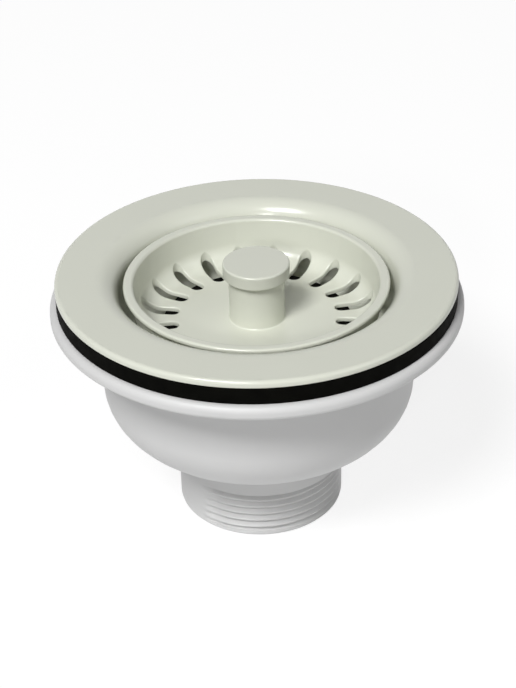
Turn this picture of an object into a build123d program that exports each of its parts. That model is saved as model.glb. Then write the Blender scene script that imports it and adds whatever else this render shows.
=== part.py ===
from build123d import *
import math
import os

# Basket strainer waste for a kitchen sink, in millimetres, with +Z up out of the drain.
# The origin is on the axis, in the plane where the flange sits on the sink.
# The strainer basket is at its raised, open height.

# Flange: the visible ring, the well below it and the seat round the drain
flange_diameter = 113.0
flange_width = 17.5
flange_thickness = 2.2
flange_edge_round = 1.7
well_mouth_round = 6.0
well_wall = 2.2
well_draft = 2.0
well_floor_fall = 6.0
well_corner_round = 4.0
seat_land = 7.0
drain_diameter = 44.0

# Hub that guides the basket and takes the fixing screw, held in the drain by spokes
hub_wall = 2.7
hub_web = 3.0
hub_lead_in = 0.8
spoke_count = 4
spoke_thickness = 2.6
spoke_depth = 6.0
spoke_turn = 45.0

# Gasket between the sink and the body's rim
gasket_thickness = 4.9

# Body: rim, bowl, neck and threaded outlet
rim_thickness = 4.1
rim_upper_round = 2.0
rim_lower_chamfer = 0.6
bowl_depth = 43.0
bowl_wall = 2.3
bowl_corner_round = 15.7
bowl_floor_fall = 10.0
neck_length = 9.7
thread_diameter = 47.8
thread_length = 15.1
thread_chamfer = 0.8
outlet_wall = 3.7

# Spider across the neck, with the boss that holds the brass insert
boss_wall = 2.4
boss_depth_below_neck_top = 2.3
rib_count = 4
rib_thickness = 2.6
rib_setback = 1.0
rib_turn = 45.0

# Fixing screw, M6 by 25 with a slotted cheese head, and the insert it turns into
screw_diameter = 6.0
screw_length = 25.0
screw_head_diameter = 10.0
screw_head_height = 3.9
screw_slot_width = 1.6
screw_slot_depth = 1.9
screw_tip_chamfer = 0.7
insert_wall = 1.15
insert_length = 12.0
insert_chamfer = 0.4

# Strainer basket
basket_rim_width = 2.8
basket_rim_thickness = 1.6
basket_rim_chamfer = 0.5
basket_rim_drop = 2.4
basket_depth = 12.2
basket_wall = 1.4
basket_draft = 8.0
basket_corner_round = 6.0
slot_count = 20
slot_width = 3.6
slot_length = 11.0
slot_end_inset = 1.2

# Knob: hollow stem moulded with the basket, and the cap plugged into it
stem_diameter = 15.7
stem_wall = 2.8
knob_overhang = 1.55
knob_thickness = 4.0
knob_height = 17.6
knob_edge_round = 1.0
knob_spigot_length = 4.0

# Seal under the basket, the retainer that holds it, and the ring that grips the hub
seal_cover = 5.0
seal_hole_diameter = 20.0
seal_thickness = 2.5
retainer_thickness = 2.0
retainer_spigot_length = 10.5
tail_length = 10.0
tail_end_below_ring = 1.9
grip_ring_section = 1.8
spigot_chamfer = 0.5

# Travel, steps between neighbours and clearances
plug_travel = 5.0
seal_gap_closed = 0.1
retainer_gap_closed = 0.9
tail_gap_closed = 0.6
gasket_inset = 0.1
gasket_hole_gap = 4.2
rim_overhang = 1.8
bowl_gap = 1.2
neck_step = 0.6
basket_rim_gap = 1.5
retainer_gap = 3.0
screw_head_gap = 0.5
tail_gap = 0.5
plug_fit = 0.05
seal_hole_fit = 0.1
ring_fit = 0.05
ring_side_play = 0.1
shank_fit = 0.05
shank_hole_clearance = 0.3
overlap = 0.5

# Diameters that follow from these
well_mouth_diameter = flange_diameter - 2 * flange_width
well_outside_diameter = well_mouth_diameter + 2 * well_wall
gasket_diameter = flange_diameter - 2 * gasket_inset
gasket_hole_diameter = well_outside_diameter + 2 * gasket_hole_gap
rim_diameter = flange_diameter + 2 * rim_overhang
bowl_inside_diameter = well_outside_diameter + 2 * bowl_gap
neck_diameter = thread_diameter + 2 * neck_step
outlet_bore_diameter = thread_diameter - 2 * outlet_wall
hub_bore_diameter = screw_head_diameter + 2 * screw_head_gap
tail_diameter = hub_bore_diameter - 2 * tail_gap
insert_bore_diameter = screw_diameter + 2 * shank_fit
insert_diameter = insert_bore_diameter + 2 * insert_wall
basket_rim_diameter = well_mouth_diameter - 2 * basket_rim_gap
stem_bore_diameter = stem_diameter - 2 * stem_wall
knob_diameter = stem_diameter + 2 * knob_overhang
seal_diameter = drain_diameter + 2 * seal_cover
retainer_diameter = drain_diameter - 2 * retainer_gap

# Heights, from the flange down
flange_top = flange_thickness
basket_rim_top = flange_top - basket_rim_drop
basket_floor = basket_rim_top - basket_depth
basket_under = basket_floor - basket_wall
seal_bottom = basket_under - seal_thickness
retainer_bottom = seal_bottom - retainer_thickness
tail_end = retainer_bottom - tail_length
seat_level = seal_bottom - plug_travel - seal_gap_closed
hub_top = retainer_bottom - plug_travel - retainer_gap_closed
screw_head_top = tail_end - plug_travel - tail_gap_closed
hub_web_top = screw_head_top - screw_head_height
hub_bottom = hub_web_top - hub_web
spoke_bottom = hub_top - spoke_depth
rim_top = -gasket_thickness
rim_bottom = rim_top - rim_thickness
neck_top = rim_top - bowl_depth
neck_bottom = neck_top - neck_length
outlet_end = neck_bottom - thread_length
boss_top = neck_top - boss_depth_below_neck_top
boss_bottom = boss_top - insert_length
knob_top = basket_floor + knob_height
knob_under = knob_top - knob_thickness
grip_ring_level = tail_end + tail_end_below_ring


def beside(point, slope, distance):
    """Point moved square off a sloping line of the section, to the right of its direction."""
    turn = math.radians(slope)
    return (point[0] + distance * math.sin(turn), point[1] - distance * math.cos(turn))


def crossing(point_a, slope_a, point_b, slope_b):
    """Where two lines of the section meet, each given by a point and a slope in degrees."""
    ax, az = math.cos(math.radians(slope_a)), math.sin(math.radians(slope_a))
    bx, bz = math.cos(math.radians(slope_b)), math.sin(math.radians(slope_b))
    dx, dz = point_b[0] - point_a[0], point_b[1] - point_a[1]
    along = (dx * bz - dz * bx) / (ax * bz - az * bx)
    return (point_a[0] + along * ax, point_a[1] + along * az)


def turned(*corners):
    """Solid of revolution from a closed outline of (radius, height, corner rounding)."""
    points = [(radius, height) for radius, height, _ in corners]
    outline = FilletPolyline(*points, radius=[corner[2] for corner in corners], close=True)
    return revolve(Plane.XZ * make_face(outline), Axis.Z)


def cylinder(diameter, bottom, top):
    """Upright cylinder on the axis between two heights."""
    return Pos(0, 0, bottom) * Cylinder(
        diameter / 2, top - bottom, align=(Align.CENTER, Align.CENTER, Align.MIN)
    )


def radial_bars(count, first, reach, thickness, bottom, top):
    """Bars that run out from the axis, evenly spaced."""
    bar = Pos(0, 0, bottom) * Box(
        reach, thickness, top - bottom, align=(Align.MIN, Align.CENTER, Align.MIN)
    )
    return [Rot(0, 0, first + 360 / count * i) * bar for i in range(count)]


def make_flange():
    """Ring, drafted well, floor that falls to the seat, drain collar, spokes and hub in one moulding."""
    drain = drain_diameter / 2
    wall_slope = 90 - well_draft
    mouth = (well_mouth_diameter / 2, flange_top)
    mouth_outside = beside(mouth, wall_slope, well_wall)
    seat_outer = (drain + seat_land, seat_level)
    seat_under = beside(seat_outer, 0, well_wall)
    floor_under = beside(seat_outer, well_floor_fall, well_wall)
    floor_corner = crossing(mouth, wall_slope, seat_outer, well_floor_fall)
    floor_corner_outside = crossing(mouth_outside, wall_slope, floor_under, well_floor_fall)
    floor_bend_under = crossing(seat_under, 0, floor_under, well_floor_fall)
    wall_root = crossing(mouth_outside, wall_slope, (0, 0), 0)
    shell = turned(
        (flange_diameter / 2, 0, 0),
        (flange_diameter / 2, flange_top, flange_edge_round),
        (*mouth, well_mouth_round),
        (*floor_corner, well_corner_round),
        (*seat_outer, 0),
        (drain, seat_level, 0),
        (drain, spoke_bottom, 0),
        (drain + well_wall, spoke_bottom, 0),
        (drain + well_wall, seat_under[1], 0),
        (*floor_bend_under, 0),
        (*floor_corner_outside, well_corner_round + well_wall),
        (*wall_root, well_mouth_round - well_wall),
    )
    hub_bore = hub_bore_diameter / 2
    shank_hole = screw_diameter / 2 + shank_hole_clearance
    hub = cylinder(hub_bore_diameter + 2 * hub_wall, hub_bottom, hub_top)
    guide = turned(
        (0, hub_top, 0),
        (hub_bore + hub_lead_in, hub_top, 0),
        (hub_bore, hub_top - hub_lead_in, 0),
        (hub_bore, hub_web_top, 0),
        (shank_hole, hub_web_top, 0),
        (shank_hole, hub_bottom, 0),
        (0, hub_bottom, 0),
    )
    spokes = radial_bars(
        spoke_count, spoke_turn, drain + overlap, spoke_thickness, spoke_bottom, hub_top
    )
    return shell + (hub + spokes - guide)


def make_sink_gasket():
    """Flat rubber washer, clamped on the body's rim."""
    outer = gasket_diameter / 2
    inner = gasket_hole_diameter / 2
    return turned(
        (inner, 0, 0),
        (outer, 0, 0),
        (outer, rim_top, 0),
        (inner, rim_top, 0),
    )


def make_body():
    """Bowl with its clamping rim, a floor that falls to the neck, and the outlet with the spider in it."""
    rim = rim_diameter / 2
    bowl_inside = bowl_inside_diameter / 2
    bowl = bowl_inside + bowl_wall
    neck = neck_diameter / 2
    thread = thread_diameter / 2
    bore = outlet_bore_diameter / 2
    neck_root = (neck, neck_top)
    floor_inside = beside(neck_root, bowl_floor_fall, -bowl_wall)
    bowl_corner = crossing(neck_root, bowl_floor_fall, (bowl, rim_bottom), 90)
    bowl_corner_inside = crossing(floor_inside, bowl_floor_fall, (bowl_inside, rim_bottom), 90)
    bore_mouth = crossing(floor_inside, bowl_floor_fall, (bore, neck_top), 90)
    shell = turned(
        (bowl_inside, rim_top, 0),
        (rim, rim_top, rim_upper_round),
        (rim, rim_bottom + rim_lower_chamfer, 0),
        (rim - rim_lower_chamfer, rim_bottom, 0),
        (bowl, rim_bottom, 0),
        (*bowl_corner, bowl_corner_round),
        (*neck_root, 0),
        (neck, neck_bottom, 0),
        (thread, neck_bottom, 0),
        (thread, outlet_end + thread_chamfer, 0),
        (thread - thread_chamfer, outlet_end, 0),
        (bore, outlet_end, 0),
        (*bore_mouth, 0),
        (*bowl_corner_inside, bowl_corner_round - bowl_wall),
    )
    boss = cylinder(insert_diameter + 2 * boss_wall, boss_bottom, boss_top)
    ribs = radial_bars(
        rib_count, rib_turn, bore + overlap, rib_thickness, boss_bottom + rib_setback, boss_top - rib_setback
    )
    return shell + (boss + ribs - cylinder(insert_diameter, boss_bottom, boss_top))


def make_insert_nut():
    """Brass bush moulded into the boss, bored for the screw."""
    outer = insert_diameter / 2
    bore = insert_bore_diameter / 2
    return turned(
        (bore + insert_chamfer, boss_top, 0),
        (outer, boss_top, 0),
        (outer, boss_bottom, 0),
        (bore + insert_chamfer, boss_bottom, 0),
        (bore, boss_bottom + insert_chamfer, 0),
        (bore, boss_top - insert_chamfer, 0),
    )


def make_fixing_screw():
    """Slotted cheese-head screw seated on the hub's web."""
    shank = screw_diameter / 2
    tip = hub_web_top - screw_length
    blank = turned(
        (0, screw_head_top, 0),
        (screw_head_diameter / 2, screw_head_top, 0),
        (screw_head_diameter / 2, hub_web_top, 0),
        (shank, hub_web_top, 0),
        (shank, tip + screw_tip_chamfer, 0),
        (shank - screw_tip_chamfer, tip, 0),
        (0, tip, 0),
    )
    slot = Pos(0, 0, screw_head_top) * Box(
        screw_head_diameter, screw_slot_width, 2 * screw_slot_depth
    )
    return blank - slot


def make_basket():
    """Strainer cup with a round corner between wall and floor, slots cut down through both, and a hollow stem."""
    rim = basket_rim_diameter / 2
    rim_inner = rim - basket_rim_width
    rim_under = basket_rim_top - basket_rim_thickness
    wall_slope = 90 - basket_draft
    wall_top = (rim_inner, basket_rim_top)
    wall_top_outside = beside(wall_top, wall_slope, basket_wall)
    wall_edge = crossing(wall_top, wall_slope, (0, basket_rim_top - basket_rim_chamfer), 0)
    corner = crossing(wall_top, wall_slope, (0, basket_floor), 0)
    corner_outside = crossing(wall_top_outside, wall_slope, (0, basket_under), 0)
    rim_root = crossing(wall_top_outside, wall_slope, (0, rim_under), 0)
    stem = stem_diameter / 2
    stem_bore = stem_bore_diameter / 2
    cup = turned(
        (stem_bore, basket_under, 0),
        (stem_bore, knob_under, 0),
        (stem, knob_under, 0),
        (stem, basket_floor, 0),
        (*corner, basket_corner_round),
        (*wall_edge, 0),
        (rim_inner + basket_rim_chamfer, basket_rim_top, 0),
        (rim - basket_rim_chamfer, basket_rim_top, 0),
        (rim, basket_rim_top - basket_rim_chamfer, 0),
        (rim, rim_under, 0),
        (*rim_root, 0),
        (*corner_outside, basket_corner_round + basket_wall),
    )
    slot_middle = rim_inner - slot_end_inset - slot_length / 2
    slot_outline = Pos(slot_middle, 0, basket_under) * SlotOverall(slot_length, slot_width)
    slot = extrude(slot_outline, basket_rim_top - basket_under)
    step = 360 / slot_count
    return cup - [Rot(0, 0, step * (i + 0.5)) * slot for i in range(slot_count)]


def make_knob_cap():
    """Round finger grip with a spigot that plugs into the stem."""
    knob = knob_diameter / 2
    spigot = stem_bore_diameter / 2 - plug_fit
    spigot_end = knob_under - knob_spigot_length
    return turned(
        (0, knob_top, 0),
        (knob, knob_top, knob_edge_round),
        (knob, knob_under, 0),
        (spigot, knob_under, 0),
        (spigot, spigot_end + spigot_chamfer, 0),
        (spigot - spigot_chamfer, spigot_end, 0),
        (0, spigot_end, 0),
    )


def make_seal_retainer():
    """Disc that clamps the seal, with a spigot up into the stem and a grooved tail down into the hub."""
    disc = retainer_diameter / 2
    collar = seal_hole_diameter / 2 - seal_hole_fit
    spigot = stem_bore_diameter / 2 - plug_fit
    spigot_end = basket_under + retainer_spigot_length
    tail = tail_diameter / 2
    groove = hub_bore_diameter / 2 - 2 * ring_fit - grip_ring_section
    groove_half = grip_ring_section / 2 + ring_side_play
    return turned(
        (0, spigot_end, 0),
        (spigot - spigot_chamfer, spigot_end, 0),
        (spigot, spigot_end - spigot_chamfer, 0),
        (spigot, basket_under, 0),
        (collar, basket_under, 0),
        (collar, seal_bottom, 0),
        (disc, seal_bottom, 0),
        (disc, retainer_bottom, 0),
        (tail, retainer_bottom, 0),
        (tail, grip_ring_level + groove_half, 0),
        (groove, grip_ring_level + groove_half, 0),
        (groove, grip_ring_level - groove_half, 0),
        (tail, grip_ring_level - groove_half, 0),
        (tail, tail_end + spigot_chamfer, 0),
        (tail - spigot_chamfer, tail_end, 0),
        (0, tail_end, 0),
    )


def make_basket_seal():
    """Rubber ring between the basket and the retainer, wide enough to cover the drain's edge."""
    outer = seal_diameter / 2
    inner = seal_hole_diameter / 2
    return turned(
        (inner, basket_under, 0),
        (outer, basket_under, 0),
        (outer, seal_bottom, 0),
        (inner, seal_bottom, 0),
    )


def make_stem_ring():
    """Square-cut rubber ring in the tail's groove."""
    outer = hub_bore_diameter / 2 - ring_fit
    inner = outer - grip_ring_section
    top = grip_ring_level + grip_ring_section / 2
    bottom = grip_ring_level - grip_ring_section / 2
    return turned((inner, bottom, 0), (outer, bottom, 0), (outer, top, 0), (inner, top, 0))


nodes = {
    "flange": make_flange(),
    "sink_gasket": make_sink_gasket(),
    "body": make_body(),
    "insert_nut": make_insert_nut(),
    "fixing_screw": make_fixing_screw(),
    "basket": make_basket(),
    "knob_cap": make_knob_cap(),
    "seal_retainer": make_seal_retainer(),
    "basket_seal": make_basket_seal(),
    "stem_ring": make_stem_ring(),
}

os.makedirs("parts", exist_ok=True)
for node, solid in nodes.items():
    export_step(solid, f"parts/{node}.step")
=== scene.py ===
import bpy
import bmesh
import math
from mathutils import Matrix, Vector


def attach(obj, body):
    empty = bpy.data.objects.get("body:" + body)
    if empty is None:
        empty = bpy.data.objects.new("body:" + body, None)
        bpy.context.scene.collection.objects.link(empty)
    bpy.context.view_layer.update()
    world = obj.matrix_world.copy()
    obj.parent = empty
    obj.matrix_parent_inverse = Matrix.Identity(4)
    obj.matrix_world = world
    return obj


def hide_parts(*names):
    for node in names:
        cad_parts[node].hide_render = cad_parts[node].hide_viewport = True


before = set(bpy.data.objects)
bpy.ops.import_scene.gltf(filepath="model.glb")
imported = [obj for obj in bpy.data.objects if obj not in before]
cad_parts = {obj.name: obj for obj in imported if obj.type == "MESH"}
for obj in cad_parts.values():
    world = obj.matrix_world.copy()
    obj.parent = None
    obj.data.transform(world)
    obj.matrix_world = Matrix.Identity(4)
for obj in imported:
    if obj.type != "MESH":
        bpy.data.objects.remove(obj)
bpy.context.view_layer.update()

# Body: the white bowl under the sink, with its clamping rim, the neck and the threaded outlet.
# Injection-moulded polypropylene in one piece, with a four-armed spider across the neck.
# The screw draws its rim up against the gasket, and the trap's nut goes on its thread.
mm = 0.001
weld = 0.002 * mm
rim_radius, rim_top, rim_bottom = 58.3, -4.9, -9.0
bowl_radius, bowl_inside, bowl_corner_round, bowl_wall = 44.7, 42.4, 15.7, 2.3
bowl_fall_angle = math.radians(10)
bowl_fall = math.tan(bowl_fall_angle)
neck_radius, neck_top, neck_bottom = 24.5, -47.9, -57.6
outlet_bore, outlet_end, outlet_edge, outlet_lip = 20.2, -72.7, 23.0, 23.7
thread_radius, thread_pitch, thread_root_height = 23.9, 2.309, -70.3
plain_above_thread, plain_below_thread = 0.2, 1.7
thread_start, thread_end = neck_bottom - plain_above_thread, outlet_end + plain_below_thread
boss_radius, insert_radius, boss_top, boss_bottom = 6.6, 4.2, -50.2, -62.2
rib_thickness, rib_setback, rib_count, rib_edge = 2.6, 1.0, 4, 0.4
rib_into_boss, rib_into_wall = 1.0, 0.5
neck_round, rim_root_round, rim_lower_round, rim_upper_round = 1.2, 1.2, 1.4, 2.0
bowl_mouth_round, bore_mouth_round, bore_end_round = 0.5, 1.5, 0.4
lip_round, lip_height, boss_round = 0.3, 0.8, 0.5


def outline(corners, closed=True):
    """Wire in the plane of +X and +Z from corners of (radius, height, rounding) in mm."""
    bm = bmesh.new()
    arc_step, fewest_steps = math.radians(9), 4
    points = [Vector((radius, 0, height)) * mm for radius, height, _ in corners]
    verts = [bm.verts.new(point) for point in points]
    for start, end in zip(verts, verts[1:] + verts[:1] if closed else verts[1:]):
        bm.edges.new((start, end))
    for i, (_, _, rounding) in enumerate(corners):
        if rounding:
            turn = (points[i] - points[i - 1]).angle(points[(i + 1) % len(points)] - points[i])
            bmesh.ops.bevel(
                bm, geom=[verts[i]], affect="VERTICES", offset_type="OFFSET", profile=0.5, material=-1,
                offset=rounding * mm * math.tan(turn / 2), segments=max(fewest_steps, round(turn / arc_step)),
            )
    return bm


def spun(bm, angle=2 * math.pi, steps=192, rise=0.0, merge=True):
    """Spins what is in the bmesh about the upright axis, rising by so much at each step."""
    bmesh.ops.spin(
        bm, geom=bm.verts[:] + bm.edges[:], cent=(0, 0, 0), axis=(0, 0, 1), dvec=(0, 0, rise), angle=angle,
        steps=steps, use_merge=merge, use_normal_flip=False, use_duplicate=False,
    )
    return bm


def joined(*parts):
    """One bmesh with the parts in it, which are freed."""
    whole = bmesh.new()
    for part in parts:
        mesh = bpy.data.meshes.new("part")
        part.to_mesh(mesh)
        part.free()
        whole.from_mesh(mesh)
        bpy.data.meshes.remove(mesh)
    return whole


def bars(count, inner, outer, thickness, bottom, top, edge):
    """Upright bars that run out from the axis, the first at 45 degrees, with softened long edges."""
    bm = bmesh.new()
    first_bar = math.radians(45)
    size = Vector((outer - inner, thickness, top - bottom)) * mm
    middle = Vector(((inner + outer) / 2, 0, (top + bottom) / 2)) * mm
    bmesh.ops.create_cube(bm, size=1, matrix=Matrix.Translation(middle) @ Matrix.Diagonal((*size, 1)))
    long_edges = [e for e in bm.edges if abs(e.verts[0].co.x - e.verts[1].co.x) > size.x / 2]
    bmesh.ops.bevel(
        bm, geom=long_edges, affect="EDGES", offset_type="OFFSET", offset=edge * mm, segments=3, profile=0.5,
        material=-1,
    )
    bmesh.ops.rotate(bm, verts=bm.verts, cent=(0, 0, 0), matrix=Matrix.Rotation(first_bar, 3, "Z"))
    bmesh.ops.spin(
        bm, geom=bm.verts[:] + bm.edges[:] + bm.faces[:], cent=(0, 0, 0), axis=(0, 0, 1), dvec=(0, 0, 0),
        angle=2 * math.pi * (count - 1) / count, steps=count - 1, use_merge=False, use_normal_flip=False,
        use_duplicate=True,
    )
    return bm


def loop_at(bm, height, radius_from, radius_to):
    """Open edges of the bmesh that lie at one height, in mm, between two radii."""
    near = 0.01
    return [
        e for e in bm.edges
        if e.is_boundary and all(
            abs(v.co.z / mm - height) < near and radius_from < v.co.xy.length / mm < radius_to
            for v in e.verts
        )
    ]


def pipe_thread(crest, pitch, root_height, start, end):
    """Rounded 55 degree thread, a little shallow, which runs out at the two sides where the mould parts."""
    sharp_depth, form_round = 0.9605 * pitch, 0.1373 * pitch
    spare_turns, turns_below = 3, 1.5
    middle = crest - sharp_depth / 3
    turns = math.ceil((start - end) / pitch) + spare_turns
    bottom = root_height - (math.ceil((root_height - end) / pitch) + turns_below) * pitch
    tooth = outline(
        [
            (middle, bottom, 0),
            (middle + sharp_depth / 2, bottom + pitch / 4, form_round),
            (middle - sharp_depth / 2, bottom + 3 * pitch / 4, form_round),
            (middle, bottom + pitch, 0),
        ],
        closed=False,
    )
    steps = 96
    bm = spun(tooth, angle=2 * math.pi * turns, steps=steps * turns, rise=pitch * mm / steps, merge=False)
    bmesh.ops.remove_doubles(bm, verts=bm.verts, dist=weld)
    for height, above, below in ((start, True, False), (end, False, True)):
        bmesh.ops.bisect_plane(
            bm, geom=bm.verts[:] + bm.edges[:] + bm.faces[:], dist=1e-7, plane_co=(0, 0, height * mm),
            plane_no=(0, 0, 1), clear_outer=above, clear_inner=below,
        )
    parting_angle = math.radians(75)
    parting = Vector((math.sin(parting_angle), math.cos(parting_angle)))
    run_out_from, run_out_over, shallow = 0.74, 0.14, 0.22
    for vert in bm.verts:
        radius = vert.co.xy.length
        side = min(max((abs(vert.co.xy.dot(parting)) / radius - run_out_from) / run_out_over, 0), 1)
        fade = shallow + (1 - shallow) * side * side * (3 - 2 * side)
        vert.co.xy *= (radius + (crest * mm - radius) * fade) / radius
    return bm


def smooth_noise(tree, scale, detail):
    """Noise on the piece's own coordinates."""
    place = tree.nodes.new("ShaderNodeTexCoord")
    noise = tree.nodes.new("ShaderNodeTexNoise")
    noise.inputs["Scale"].default_value = scale
    noise.inputs["Detail"].default_value = detail
    tree.links.new(place.outputs["Object"], noise.inputs["Vector"])
    return noise.outputs["Fac"]


def feed(tree, socket, value):
    """Links a value into a socket, or sets the socket where the value is a plain one."""
    if isinstance(value, bpy.types.NodeSocket):
        tree.links.new(value, socket)
    else:
        socket.default_value = value


def spread(tree, value, low, high):
    """A noise value spread over a range."""
    noise_low, noise_high = 0.3, 0.7
    node = tree.nodes.new("ShaderNodeMapRange")
    for name, given in (
        ("Value", value), ("From Min", noise_low), ("From Max", noise_high),
        ("To Min", low), ("To Max", high),
    ):
        feed(tree, node.inputs[name], given)
    return node.outputs["Result"]


def arithmetic(tree, operation, a, b):
    """Sum, product or the like of two values."""
    node = tree.nodes.new("ShaderNodeMath")
    node.operation = operation
    feed(tree, node.inputs[0], a)
    feed(tree, node.inputs[1], b)
    return node.outputs["Value"]


def tinted(tree, colour, tone):
    """A colour made darker or lighter by a tone."""
    node = tree.nodes.new("ShaderNodeVectorMath")
    node.operation = "SCALE"
    feed(tree, node.inputs[0], colour)
    feed(tree, node.inputs["Scale"], tone)
    return node.outputs["Vector"]


def raised(tree, shader, height, strength, depth):
    """Fine relief on the shader's surface from a height, with its depth in mm."""
    relief = tree.nodes.new("ShaderNodeBump")
    relief.inputs["Strength"].default_value = strength
    relief.inputs["Distance"].default_value = depth * mm
    tree.links.new(height, relief.inputs["Height"])
    tree.links.new(relief.outputs["Normal"], shader.inputs["Normal"])


def new_finish(name):
    """A new material, with its node tree and its shader."""
    material = bpy.data.materials.new(name)
    material.use_nodes = True
    tree = material.node_tree
    return material, tree, tree.nodes["Principled BSDF"]


def moulded_skin():
    """Node group for a moulded skin: clouds in the colour, marks in the gloss and a faint orange peel."""
    cloud_scale, scuff_scale, peel_scale = 38, 55, 420
    group = bpy.data.node_groups.new("moulded skin", "ShaderNodeTree")
    for name, kind in (
        ("Colour", "NodeSocketColor"), ("Clouds", "NodeSocketFloat"), ("Gloss", "NodeSocketFloat"),
        ("Marks", "NodeSocketFloat"),
    ):
        group.interface.new_socket(name, in_out="INPUT", socket_type=kind)
    for name, kind in (
        ("Colour", "NodeSocketColor"), ("Roughness", "NodeSocketFloat"), ("Height", "NodeSocketFloat"),
    ):
        group.interface.new_socket(name, in_out="OUTPUT", socket_type=kind)
    given = group.nodes.new("NodeGroupInput").outputs
    out = group.nodes.new("NodeGroupOutput").inputs
    darker = arithmetic(group, "SUBTRACT", 1.0, given["Clouds"])
    lighter = arithmetic(group, "ADD", 1.0, given["Clouds"])
    tone = spread(group, smooth_noise(group, cloud_scale, 2), darker, lighter)
    group.links.new(tinted(group, given["Colour"], tone), out["Colour"])
    scuffs = spread(group, smooth_noise(group, scuff_scale, 2), 0.0, given["Marks"])
    group.links.new(arithmetic(group, "ADD", given["Gloss"], scuffs), out["Roughness"])
    group.links.new(smooth_noise(group, peel_scale, 1), out["Height"])
    return group


skin = moulded_skin()


def plastic(name, colour, clouds, gloss, marks, bump):
    """Moulded plastic with the shared skin."""
    peel_depth, refraction = 0.05, 1.49
    material, tree, shader = new_finish(name)
    surface = tree.nodes.new("ShaderNodeGroup")
    surface.node_tree = skin
    surface.inputs["Colour"].default_value = (*colour, 1)
    surface.inputs["Clouds"].default_value = clouds
    surface.inputs["Gloss"].default_value = gloss
    surface.inputs["Marks"].default_value = marks
    tree.links.new(surface.outputs["Colour"], shader.inputs["Base Color"])
    tree.links.new(surface.outputs["Roughness"], shader.inputs["Roughness"])
    raised(tree, shader, surface.outputs["Height"], bump, peel_depth)
    shader.inputs["IOR"].default_value = refraction
    return material


def finished(node, word, bm, material, body):
    """The bmesh as a piece in place of the CAD node, which it hides; it moves with its body and takes the
    given finish.
    """
    sharp_from = math.radians(38)
    bmesh.ops.remove_doubles(bm, verts=bm.verts, dist=weld)
    bmesh.ops.recalc_face_normals(bm, faces=bm.faces)
    mesh = bpy.data.meshes.new(f"{node}_{word}")
    bm.to_mesh(mesh)
    bm.free()
    mesh.shade_smooth()
    mesh.set_sharp_from_angle(angle=sharp_from)
    mesh.materials.append(material)
    piece = bpy.data.objects.new(f"{node}_{word}", mesh)
    bpy.context.collection.objects.link(piece)
    even = piece.modifiers.new("even shading", "WEIGHTED_NORMAL")
    even.keep_sharp = True
    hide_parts(node)
    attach(piece, body)


white_plastic = plastic(
    "white moulded plastic", colour=(0.66, 0.66, 0.657), clouds=0.010, gloss=0.40, marks=0.08, bump=0.05
)
bowl_corner = neck_top + (bowl_radius - neck_radius) * bowl_fall
floor_inside = neck_top + bowl_wall / math.cos(bowl_fall_angle)
bore_mouth = floor_inside + (outlet_bore - neck_radius) * bowl_fall
corner_inside = floor_inside + (bowl_inside - neck_radius) * bowl_fall
shell = spun(outline(
    [
        (neck_radius, thread_start, 0),
        (neck_radius, neck_top, neck_round),
        (bowl_radius, bowl_corner, bowl_corner_round),
        (bowl_radius, rim_bottom, rim_root_round),
        (rim_radius, rim_bottom, rim_lower_round),
        (rim_radius, rim_top, rim_upper_round),
        (bowl_inside, rim_top, bowl_mouth_round),
        (bowl_inside, corner_inside, bowl_corner_round - bowl_wall),
        (outlet_bore, bore_mouth, bore_mouth_round),
        (outlet_bore, outlet_end, bore_end_round),
        (outlet_edge, outlet_end, lip_round),
        (outlet_lip, outlet_end + lip_height, lip_round),
        (outlet_lip, thread_end, 0),
    ],
    closed=False,
))
bowl = joined(shell, pipe_thread(thread_radius, thread_pitch, thread_root_height, thread_start, thread_end))
inside_thread, outside_thread = 22, 25
for height in (thread_start, thread_end):
    bmesh.ops.bridge_loops(bowl, edges=loop_at(bowl, height, inside_thread, outside_thread))
boss = spun(outline([
    (insert_radius, boss_top, 0),
    (boss_radius, boss_top, boss_round),
    (boss_radius, boss_bottom, boss_round),
    (insert_radius, boss_bottom, 0),
]), steps=64)
ribs = bars(
    rib_count, insert_radius + rib_into_boss, outlet_bore + rib_into_wall, rib_thickness,
    boss_bottom + rib_setback, boss_top - rib_setback, rib_edge,
)
finished("body", "bowl", joined(bowl, boss, ribs), white_plastic, "waste")

# Insert: a short brass bush that the screw turns into, moulded into the spider's boss.
# Turned from bar, so its end faces carry fine rings from the tool.


def metal(name, colour, roughness, ring_scale, bump):
    """Machined metal: fine turning rings about the axis, and a little tarnish in the colour."""
    tarnish_scale, tarnish_dark, tarnish_bright = 220, 0.86, 1.06
    wear_scale, wear, ring_waver, ring_depth = 300, 0.06, 0.4, 0.03
    material, tree, shader = new_finish(name)
    shader.inputs["Metallic"].default_value = 1
    place = tree.nodes.new("ShaderNodeTexCoord")
    rings = tree.nodes.new("ShaderNodeTexWave")
    rings.wave_type = "RINGS"
    rings.rings_direction = "Z"
    rings.inputs["Scale"].default_value = ring_scale
    rings.inputs["Distortion"].default_value = ring_waver
    tree.links.new(place.outputs["Object"], rings.inputs["Vector"])
    tarnish = spread(tree, smooth_noise(tree, tarnish_scale, 3), tarnish_dark, tarnish_bright)
    tree.links.new(tinted(tree, colour, tarnish), shader.inputs["Base Color"])
    worn = spread(tree, smooth_noise(tree, wear_scale, 2), roughness - wear, roughness + wear)
    tree.links.new(worn, shader.inputs["Roughness"])
    raised(tree, shader, rings.outputs["Fac"], bump, ring_depth)
    return material


brass = metal("turned brass", colour=(0.72, 0.53, 0.24), roughness=0.30, ring_scale=900, bump=0.25)
insert_bore, insert_chamfer = 3.05, 0.4
finished("insert_nut", "bush", spun(outline([
    (insert_bore + insert_chamfer, boss_top, 0),
    (insert_radius, boss_top, 0),
    (insert_radius, boss_bottom, 0),
    (insert_bore + insert_chamfer, boss_bottom, 0),
    (insert_bore, boss_bottom + insert_chamfer, 0),
    (insert_bore, boss_top - insert_chamfer, 0),
]), steps=64), brass, "waste")

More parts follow.
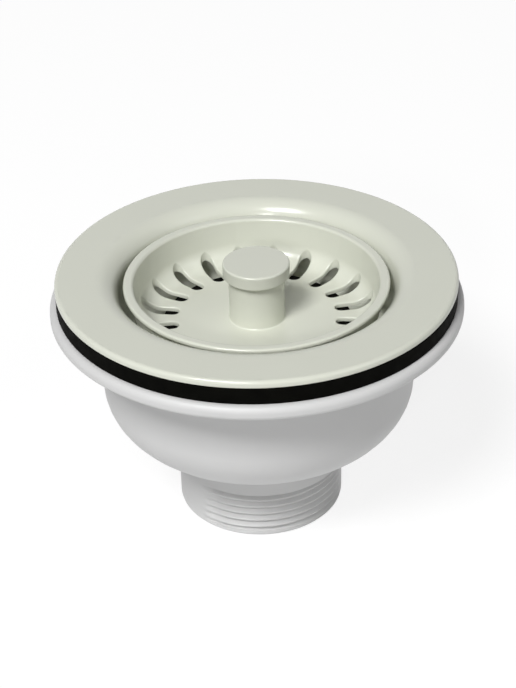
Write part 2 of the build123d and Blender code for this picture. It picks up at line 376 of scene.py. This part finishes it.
# Gasket: a thick washer of black rubber between the underside of the sink and the body's rim.
# Moulded flat, with slightly rounded edges, and only clamped, never glued.


def rubber(name, colour, grain):
    """Matt rubber with a bloom of dust in the grain."""
    bloom_scale, bare, dusty = 260, 0.75, 1.5
    wear_scale, worn, fresh = 500, 0.62, 0.78
    grain_scale, grain_strength, sheen = 1800, 0.35, 0.03
    material, tree, shader = new_finish(name)
    bloom = spread(tree, smooth_noise(tree, bloom_scale, 4), bare, dusty)
    tree.links.new(tinted(tree, colour, bloom), shader.inputs["Base Color"])
    tree.links.new(spread(tree, smooth_noise(tree, wear_scale, 2), worn, fresh), shader.inputs["Roughness"])
    raised(tree, shader, smooth_noise(tree, grain_scale, 2), grain_strength, grain)
    shader.inputs["Specular IOR Level"].default_value = sheen
    return material


black_rubber = rubber("black rubber", colour=(0.0018, 0.0018, 0.0013), grain=0.03)
gasket_hole, gasket_radius, gasket_edge = 45.4, 56.4, 0.4
finished("sink_gasket", "washer", spun(outline([
    (gasket_hole, rim_top, gasket_edge),
    (gasket_radius, rim_top, gasket_edge),
    (gasket_radius, 0, gasket_edge),
    (gasket_hole, 0, gasket_edge),
])), black_rubber, "waste")

# Flange: the cream ring seen in the sink, with the deep well that the strainer sits in.
# Glossy plastic in one moulding with the drain's collar, four spokes and the hub for the screw.
# It lies on the sink, and the screw through its hub clamps it down.
cream_plastic = plastic(
    "cream moulded plastic", colour=(0.70, 0.717, 0.625), clouds=0.008, gloss=0.20, marks=0.06, bump=0.04
)
flange_radius, flange_top, flange_edge, flange_lower_edge = 56.5, 2.2, 1.1, 0.49
well_mouth, well_mouth_round, well_wall = 39.0, 6.0, 2.2
well_lean = math.tan(math.radians(2))
drain_radius, seat_outer, seat_level = 22.0, 29.0, -21.4
floor_angle = math.radians(6)
floor_rise = math.tan(floor_angle)
hub_bore, hub_radius, hub_top, hub_bottom, hub_lead = 5.5, 8.2, -24.2, -40.8, 0.8
hub_web_top, shank_hole = -37.8, 3.3
spoke_bottom, spoke_thickness, spoke_count, spoke_edge = -30.2, 2.6, 4, 0.4
spoke_into_hub, spoke_into_collar = 1.0, 0.5
well_corner_round, well_outside_round, outside_spread = 4.0, 6.0, 1.02
seat_round, drain_round, collar_round, collar_root_round = 1.5, 0.6, 0.3, 0.8
hub_top_round, hub_bottom_round, shank_round = 0.4, 0.5, 0.2
# Corner where the well's leaning wall meets its rising floor, inside and then outside
well_depth = flange_top - seat_level
well_foot = well_mouth - well_lean * (well_depth + floor_rise * seat_outer)
corner_radius = well_foot / (1 - well_lean * floor_rise)
corner_height = seat_level + (corner_radius - seat_outer) * floor_rise
under_seat = seat_level - well_wall
under_rise = well_wall * (1 / math.cos(floor_angle) - 1) / floor_rise
outside_radius = corner_radius + well_wall * outside_spread
outside_height = under_seat + (outside_radius - seat_outer - under_rise) * floor_rise
ring = spun(outline([
    (flange_radius, 0, flange_lower_edge),
    (flange_radius, flange_top, flange_edge),
    (well_mouth, flange_top, well_mouth_round),
    (corner_radius, corner_height, well_corner_round),
    (seat_outer, seat_level, seat_round),
    (drain_radius, seat_level, drain_round),
    (drain_radius, spoke_bottom, collar_round),
    (drain_radius + well_wall, spoke_bottom, collar_round),
    (drain_radius + well_wall, under_seat, collar_root_round),
    (seat_outer + under_rise, under_seat, 0),
    (outside_radius, outside_height, well_outside_round),
    (well_mouth + well_wall - well_lean * flange_top, 0, well_mouth_round - well_wall),
]))
hub = spun(outline([
    (hub_bore + hub_lead, hub_top, 0),
    (hub_radius, hub_top, hub_top_round),
    (hub_radius, hub_bottom, hub_bottom_round),
    (shank_hole, hub_bottom, shank_round),
    (shank_hole, hub_web_top, shank_round),
    (hub_bore, hub_web_top, 0),
    (hub_bore, hub_top - hub_lead, 0),
]), steps=96)
spokes = bars(
    spoke_count, hub_bore + spoke_into_hub, drain_radius + spoke_into_collar, spoke_thickness, spoke_bottom,
    hub_top, spoke_edge,
)
finished("flange", "ring", joined(ring, hub, spokes), cream_plastic, "waste")

# Fixing screw: a slotted stainless screw that pulls the flange and the body together.
# Cold-headed from wire; its solid has the form already, and gets a bright, slightly worn finish here.
steel = metal("bright stainless steel", colour=(0.60, 0.60, 0.59), roughness=0.26, ring_scale=1100, bump=0.18)
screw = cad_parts["fixing_screw"]
screw.data.materials.clear()
screw.data.materials.append(steel)

# Strainer basket: the cream cup that catches scraps, with twenty slots round its floor and a hollow stem.
# One glossy moulding: a flat floor, a round corner up into the wall, and soft-edged slots through both.
# It stands in the well on its tail and lifts out by the knob.
cup_rim, cup_mouth, cup_top, cup_rim_under = 37.5, 34.7, -0.2, -1.8
stem_radius, stem_bore, stem_top = 7.85, 5.05, 1.2
floor_top, floor_under, cup_corner = -12.4, -13.8, 6.0
cup_lean = math.radians(82)
slot_count, slot_half, slot_first, slot_last = 20, 1.8, 24.3, 31.7
slot_edge, slot_edge_under = 0.42, 0.2
stem_foot_round, cup_mouth_round = 0.5, 0.9
cup_rim_round, cup_rim_lower_edge, cup_rim_foot_round = 0.7, 0.6, 0.5
half_step = math.pi / slot_count
corner_middle = floor_top + cup_corner
corner_start = cup_mouth - (cup_top - floor_top) / math.tan(cup_lean) - cup_corner * math.tan(cup_lean / 2)


def cup_slope(radius, level):
    """Slope of the cup's upper or lower side at a radius, which grows round the corner up to the wall's."""
    reach = max(radius - corner_start, 0) / (corner_middle - level)
    return math.asin(min(reach, math.sin(cup_lean)))


def cup_height(radius, level):
    """Height of the cup's upper or lower side: level floor, round corner and leaning wall."""
    turn, rounding = cup_slope(radius, level), corner_middle - level
    past = max(radius - corner_start - rounding * math.sin(cup_lean), 0)
    return corner_middle - rounding * math.cos(turn) + past * math.tan(cup_lean)


def edge_drop(along, across, rounding):
    """How far a slot's rounded edge has sunk at a place beside it, fading where the slot meets the wall."""
    nearest = min(max(along, slot_first), slot_last)
    clear = math.hypot(along - nearest, across) - slot_half
    inside = min(max(rounding - clear, 0), rounding)
    fade = 1 - min(max(along - slot_last, 0) / slot_half, 1)
    return fade * (rounding - math.sqrt(rounding ** 2 - inside ** 2))


def walked(bm):
    """Points of an open wire in mm, from the end made first to the other."""
    vert = min((v for v in bm.verts if len(v.link_edges) == 1), key=lambda v: v.index)
    edge, points = None, []
    while vert:
        points.append((vert.co.x / mm, vert.co.z / mm))
        onward = [e for e in vert.link_edges if e is not edge]
        edge = onward[0] if onward else None
        vert = edge.other_vert(vert) if edge else None
    bm.free()
    return points


# Places along a slot's edge, given along and across the slot's own line, from its inner end outwards
steps_round = [math.radians(a) for a in (0, 12, 25, 40, 55, 70, 90)]
straight_steps = 12
slot_straight = slot_last - slot_first
slot_side = [(slot_first - slot_half * math.cos(a), slot_half * math.sin(a)) for a in steps_round]
slot_side += [(slot_first + slot_straight * i / straight_steps, slot_half) for i in range(1, straight_steps)]
slot_side += [(slot_last + slot_half * math.cos(a), slot_half * math.sin(a)) for a in reversed(steps_round)]
slot_rows = [(math.hypot(*spot), half_step - math.atan2(spot[1], spot[0])) for spot in slot_side]
steps_before, steps_after = (0.7, 0.42, 0.25, 0.12, 0.05), (0.04, 0.09, 0.15, 0.22)
inner_rows = [(slot_rows[0][0] - step, half_step) for step in steps_before]
outer_rows = [(slot_rows[-1][0] + step, half_step) for step in steps_after]
slot_zone = inner_rows + slot_rows + outer_rows

middle = walked(outline([
    (stem_bore, stem_top, 0),
    (stem_radius, stem_top, 0),
    (stem_radius, floor_top, stem_foot_round),
    (slot_zone[0][0], floor_top, 0),
], closed=False))
zone_end = slot_zone[-1][0]
under_corner = corner_start + (corner_middle - floor_under) * math.sin(cup_lean)
outside = cup_mouth + (floor_top - floor_under) / math.sin(cup_lean)
wall = walked(outline([
    (zone_end, cup_height(zone_end, floor_top), 0),
    (cup_mouth, cup_top, cup_mouth_round),
    (cup_rim, cup_top, cup_rim_round),
    (cup_rim, cup_rim_under, cup_rim_lower_edge),
    (outside - (cup_top - cup_rim_under) / math.tan(cup_lean), cup_rim_under, cup_rim_foot_round),
    (under_corner, cup_height(under_corner, floor_under), 0),
], closed=False))
steps_in = (0.25, 0.55, 0.85)
wall += [(under_corner - step, cup_height(under_corner - step, floor_under)) for step in steps_in]

# Stations round the cup's section: radius, height, half the angle from slot to slot, and beside a slot
# the level of that side of the floor and the rounding of the slot's edge, negative underneath
stations = [(r, z, half_step, None, 0) for r, z in middle[:-1]]
stations += [(r, cup_height(r, floor_top), side, floor_top, slot_edge) for r, side in slot_zone]
stations += [(r, z, half_step, None, 0) for r, z in wall[1:]]
stations += [
    (r, cup_height(r, floor_under), side, floor_under, -slot_edge_under) for r, side in reversed(slot_zone)
]
stations += [(r, z, half_step, None, 0) for r, z in ((stem_bore, floor_under), (stem_bore, stem_top))]

# A grid is bent into the share of the cup between the middles of two slots, its columns closest beside them,
# and repeated round the axis, and then the upper and lower edges of each slot are bridged
beside_slot = (0, 0.05, 0.12, 0.25, 0.42, 0.7)
last = len(beside_slot) - 1
middle_columns, grid_half = 3, 0.5
columns = 2 * len(beside_slot) + middle_columns
half_columns = columns // 2
cup = bmesh.new()
bmesh.ops.create_grid(cup, x_segments=columns - 1, y_segments=len(stations) - 1, size=grid_half)
for vert in cup.verts:
    column = round((vert.co.x + grid_half) * (columns - 1)) - half_columns
    radius, height, side, level, rounding = stations[round((vert.co.y + grid_half) * (len(stations) - 1))]
    from_edge = half_columns - abs(column)
    reach = side - beside_slot[min(from_edge, last)] / radius
    if from_edge > last:
        reach *= (half_columns - from_edge) / (half_columns - last)
    angle = math.copysign(reach, column)
    if rounding:
        along, across = radius * math.cos(half_step - reach), radius * math.sin(half_step - reach)
        sunk = math.copysign(edge_drop(along, across, abs(rounding)), rounding)
        slope = cup_slope(radius, level)
        radius, height = radius + sunk * math.sin(slope), height - sunk * math.cos(slope)
    vert.co = Vector((radius * math.cos(angle), radius * math.sin(angle), height)) * mm
bmesh.ops.spin(
    cup, geom=cup.verts[:] + cup.edges[:] + cup.faces[:], cent=(0, 0, 0), axis=(0, 0, 1), dvec=(0, 0, 0),
    angle=2 * math.pi * (slot_count - 1) / slot_count, steps=slot_count - 1, use_merge=False,
    use_normal_flip=False, use_duplicate=True,
)
bmesh.ops.remove_doubles(cup, verts=cup.verts, dist=weld)
slot_rims = [[] for _ in range(slot_count)]
for edge in cup.edges:
    if edge.is_boundary:
        spot = edge.verts[0].co + edge.verts[1].co
        slot_rims[int(math.atan2(spot.y, spot.x) % (2 * math.pi) / (2 * half_step))].append(edge)
for rim_edges in slot_rims:
    bmesh.ops.bridge_loops(cup, edges=rim_edges)
finished("basket", "cup", cup, cream_plastic, "strainer")

# Seal: the black rubber ring under the basket that closes the drain when the basket is pushed down.
# Moulded flat with rounded edges, and held against the basket's floor by the retainer.
seal_hole, seal_radius, seal_bottom = 10.0, 27.0, -16.3
seal_inner_edge, seal_outer_edge = 0.2, 0.5
finished("basket_seal", "ring", spun(outline([
    (seal_hole, seal_bottom, seal_inner_edge),
    (seal_radius, seal_bottom, seal_outer_edge),
    (seal_radius, floor_under, seal_outer_edge),
    (seal_hole, floor_under, seal_inner_edge),
]), steps=128), black_rubber, "strainer")

# Retainer: the white disc that holds the seal, with a grooved tail below that runs in the hub.
# One moulding in the body's plastic, held in the basket's stem by the tight fit of its spigot.
retainer_radius, retainer_bottom = 19.0, -18.3
collar, spigot, spigot_top = 9.9, 5.0, -3.3
tail, tail_end, groove, groove_top, groove_bottom = 5.0, -28.3, 3.6, -25.4, -27.4
spigot_edge, collar_edge, disc_upper_edge, disc_lower_edge = 0.5, 0.2, 0.3, 0.6
tail_root_round, groove_edge, tail_end_round = 0.8, 0.15, 0.7
finished("seal_retainer", "disc", spun(outline([
    (0, spigot_top, 0),
    (spigot, spigot_top, spigot_edge),
    (spigot, floor_under, 0),
    (collar, floor_under, collar_edge),
    (collar, seal_bottom, 0),
    (retainer_radius, seal_bottom, disc_upper_edge),
    (retainer_radius, retainer_bottom, disc_lower_edge),
    (tail, retainer_bottom, tail_root_round),
    (tail, groove_top, groove_edge),
    (groove, groove_top, 0),
    (groove, groove_bottom, 0),
    (tail, groove_bottom, groove_edge),
    (tail, tail_end, tail_end_round),
    (0, tail_end, 0),
], closed=False), steps=96), white_plastic, "strainer")

# Grip ring: a small square-cut ring of black rubber in the groove of the retainer's tail.
# It squeezes in the hub, and its friction holds the basket up or down.
ring_inner, ring_outer, ring_top, ring_bottom = 3.65, 5.45, -25.5, -27.3
ring_inner_edge, ring_outer_edge = 0.2, 0.3
finished("stem_ring", "grip", spun(outline([
    (ring_inner, ring_bottom, ring_inner_edge),
    (ring_outer, ring_bottom, ring_outer_edge),
    (ring_outer, ring_top, ring_outer_edge),
    (ring_inner, ring_top, ring_inner_edge),
]), steps=64), black_rubber, "grip_ring")

# Knob: the round cream cap plugged into the top of the basket's stem, as a finger grip.
# Moulded with a flat top, a rounded rim and a spigot that holds by its tight fit.
knob_radius, knob_top, knob_under = 9.4, 5.2, 1.2
knob_spigot, knob_spigot_end = 5.0, -2.8
knob_edge, knob_lower_edge, knob_spigot_edge = 0.6, 0.4, 0.5
finished("knob_cap", "grip", spun(outline([
    (0, knob_top, 0),
    (knob_radius, knob_top, knob_edge),
    (knob_radius, knob_under, knob_lower_edge),
    (knob_spigot, knob_under, 0),
    (knob_spigot, knob_spigot_end, knob_spigot_edge),
    (0, knob_spigot_end, 0),
], closed=False), steps=128), cream_plastic, "strainer")

# Floor: a plain white studio floor that the waste stands on by its outlet.
# It looks white to the camera and in reflections, and keeps the waste's soft shadow.
floor_half, floor_roughness = 3, 0.9
floor_tone, floor_tone_drop, floor_glow = 0.8, 0.58, 0.84
floor_mesh = bmesh.new()
floor_place = Matrix.Translation((0, 0, outlet_end * mm))
bmesh.ops.create_grid(floor_mesh, x_segments=1, y_segments=1, size=floor_half, matrix=floor_place)
mesh = bpy.data.meshes.new("studio_floor")
floor_mesh.to_mesh(mesh)
floor_mesh.free()
floor = bpy.data.objects.new("studio_floor", mesh)
bpy.context.collection.objects.link(floor)


def seen_directly(tree):
    """1 for rays from the camera, from reflections and through glass, and 0 for the light on the object."""
    rays = tree.nodes.new("ShaderNodeLightPath").outputs
    return arithmetic(
        tree, "MAXIMUM", arithmetic(tree, "MAXIMUM", rays["Is Camera Ray"], rays["Is Glossy Ray"]),
        rays["Is Transmission Ray"],
    )


paper, tree, matt = new_finish("white studio floor")
matt.inputs["Roughness"].default_value = floor_roughness
matt.inputs["Specular IOR Level"].default_value = 0
matt.inputs["Emission Color"].default_value = (1, 1, 1, 1)
seen = seen_directly(tree)
tone = arithmetic(tree, "SUBTRACT", floor_tone, arithmetic(tree, "MULTIPLY", seen, floor_tone_drop))
tree.links.new(tone, matt.inputs["Base Color"])
tree.links.new(arithmetic(tree, "MULTIPLY", seen, floor_glow), matt.inputs["Emission Strength"])
mesh.materials.append(paper)

# Light: a key soft box above the front left, a small one low at the front, a weak one from the right,
# and a room that is white to the camera and in reflections.
room_seen, room_light = 0.98, 0.02
world = bpy.data.worlds.new("white room")
bpy.context.scene.world = world
world.use_nodes = True
tree = world.node_tree
room = tree.nodes["Background"]
room.inputs["Color"].default_value = (1, 1, 1, 1)
brightness = arithmetic(tree, "ADD", arithmetic(tree, "MULTIPLY", seen_directly(tree), room_seen), room_light)
tree.links.new(brightness, room.inputs["Strength"])


def soft_box(name, azimuth, elevation, distance, size, power):
    """Square lamp that looks at the waste, its azimuth counted to the right of the camera's side."""
    lamp = bpy.data.lights.new(name, "AREA")
    lamp.shape = "SQUARE"
    lamp.size = size
    lamp.energy = power
    holder = bpy.data.objects.new(name, lamp)
    turn, tilt = math.radians(azimuth), math.radians(elevation)
    away = Vector((math.sin(turn) * math.cos(tilt), -math.cos(turn) * math.cos(tilt), math.sin(tilt)))
    holder.location = away * distance
    holder.rotation_euler = away.to_track_quat("Z", "Y").to_euler()
    bpy.context.collection.objects.link(holder)


soft_box("key soft box", azimuth=-29, elevation=52, distance=2.5, size=0.75, power=51)
soft_box("front soft box", azimuth=-10, elevation=26, distance=2.5, size=0.22, power=10)
soft_box("right soft box", azimuth=60, elevation=40, distance=2.5, size=1.2, power=6.5)

# Camera: a long lens above the front, as the photograph was taken, with its slight tilt.
# Its place, aim and lens are fitted to the ellipses that the round pieces make in the photograph.
camera_data = bpy.data.cameras.new("camera")
camera_data.lens = 104.34
camera_data.sensor_width = 36
camera_data.clip_end = 20
camera = bpy.data.objects.new("camera", camera_data)
target = Vector((0, 0, -0.0219))
place = Vector((0, -0.4829, 0.2824))
roll = math.radians(-1.4)
camera.location = place
aim = (place - target).to_track_quat("Z", "Y").to_matrix()
camera.rotation_euler = (aim @ Matrix.Rotation(roll, 3, "Z")).to_euler()
bpy.context.collection.objects.link(camera)
bpy.context.scene.camera = camera
bpy.context.scene.view_settings.view_transform = "Standard"
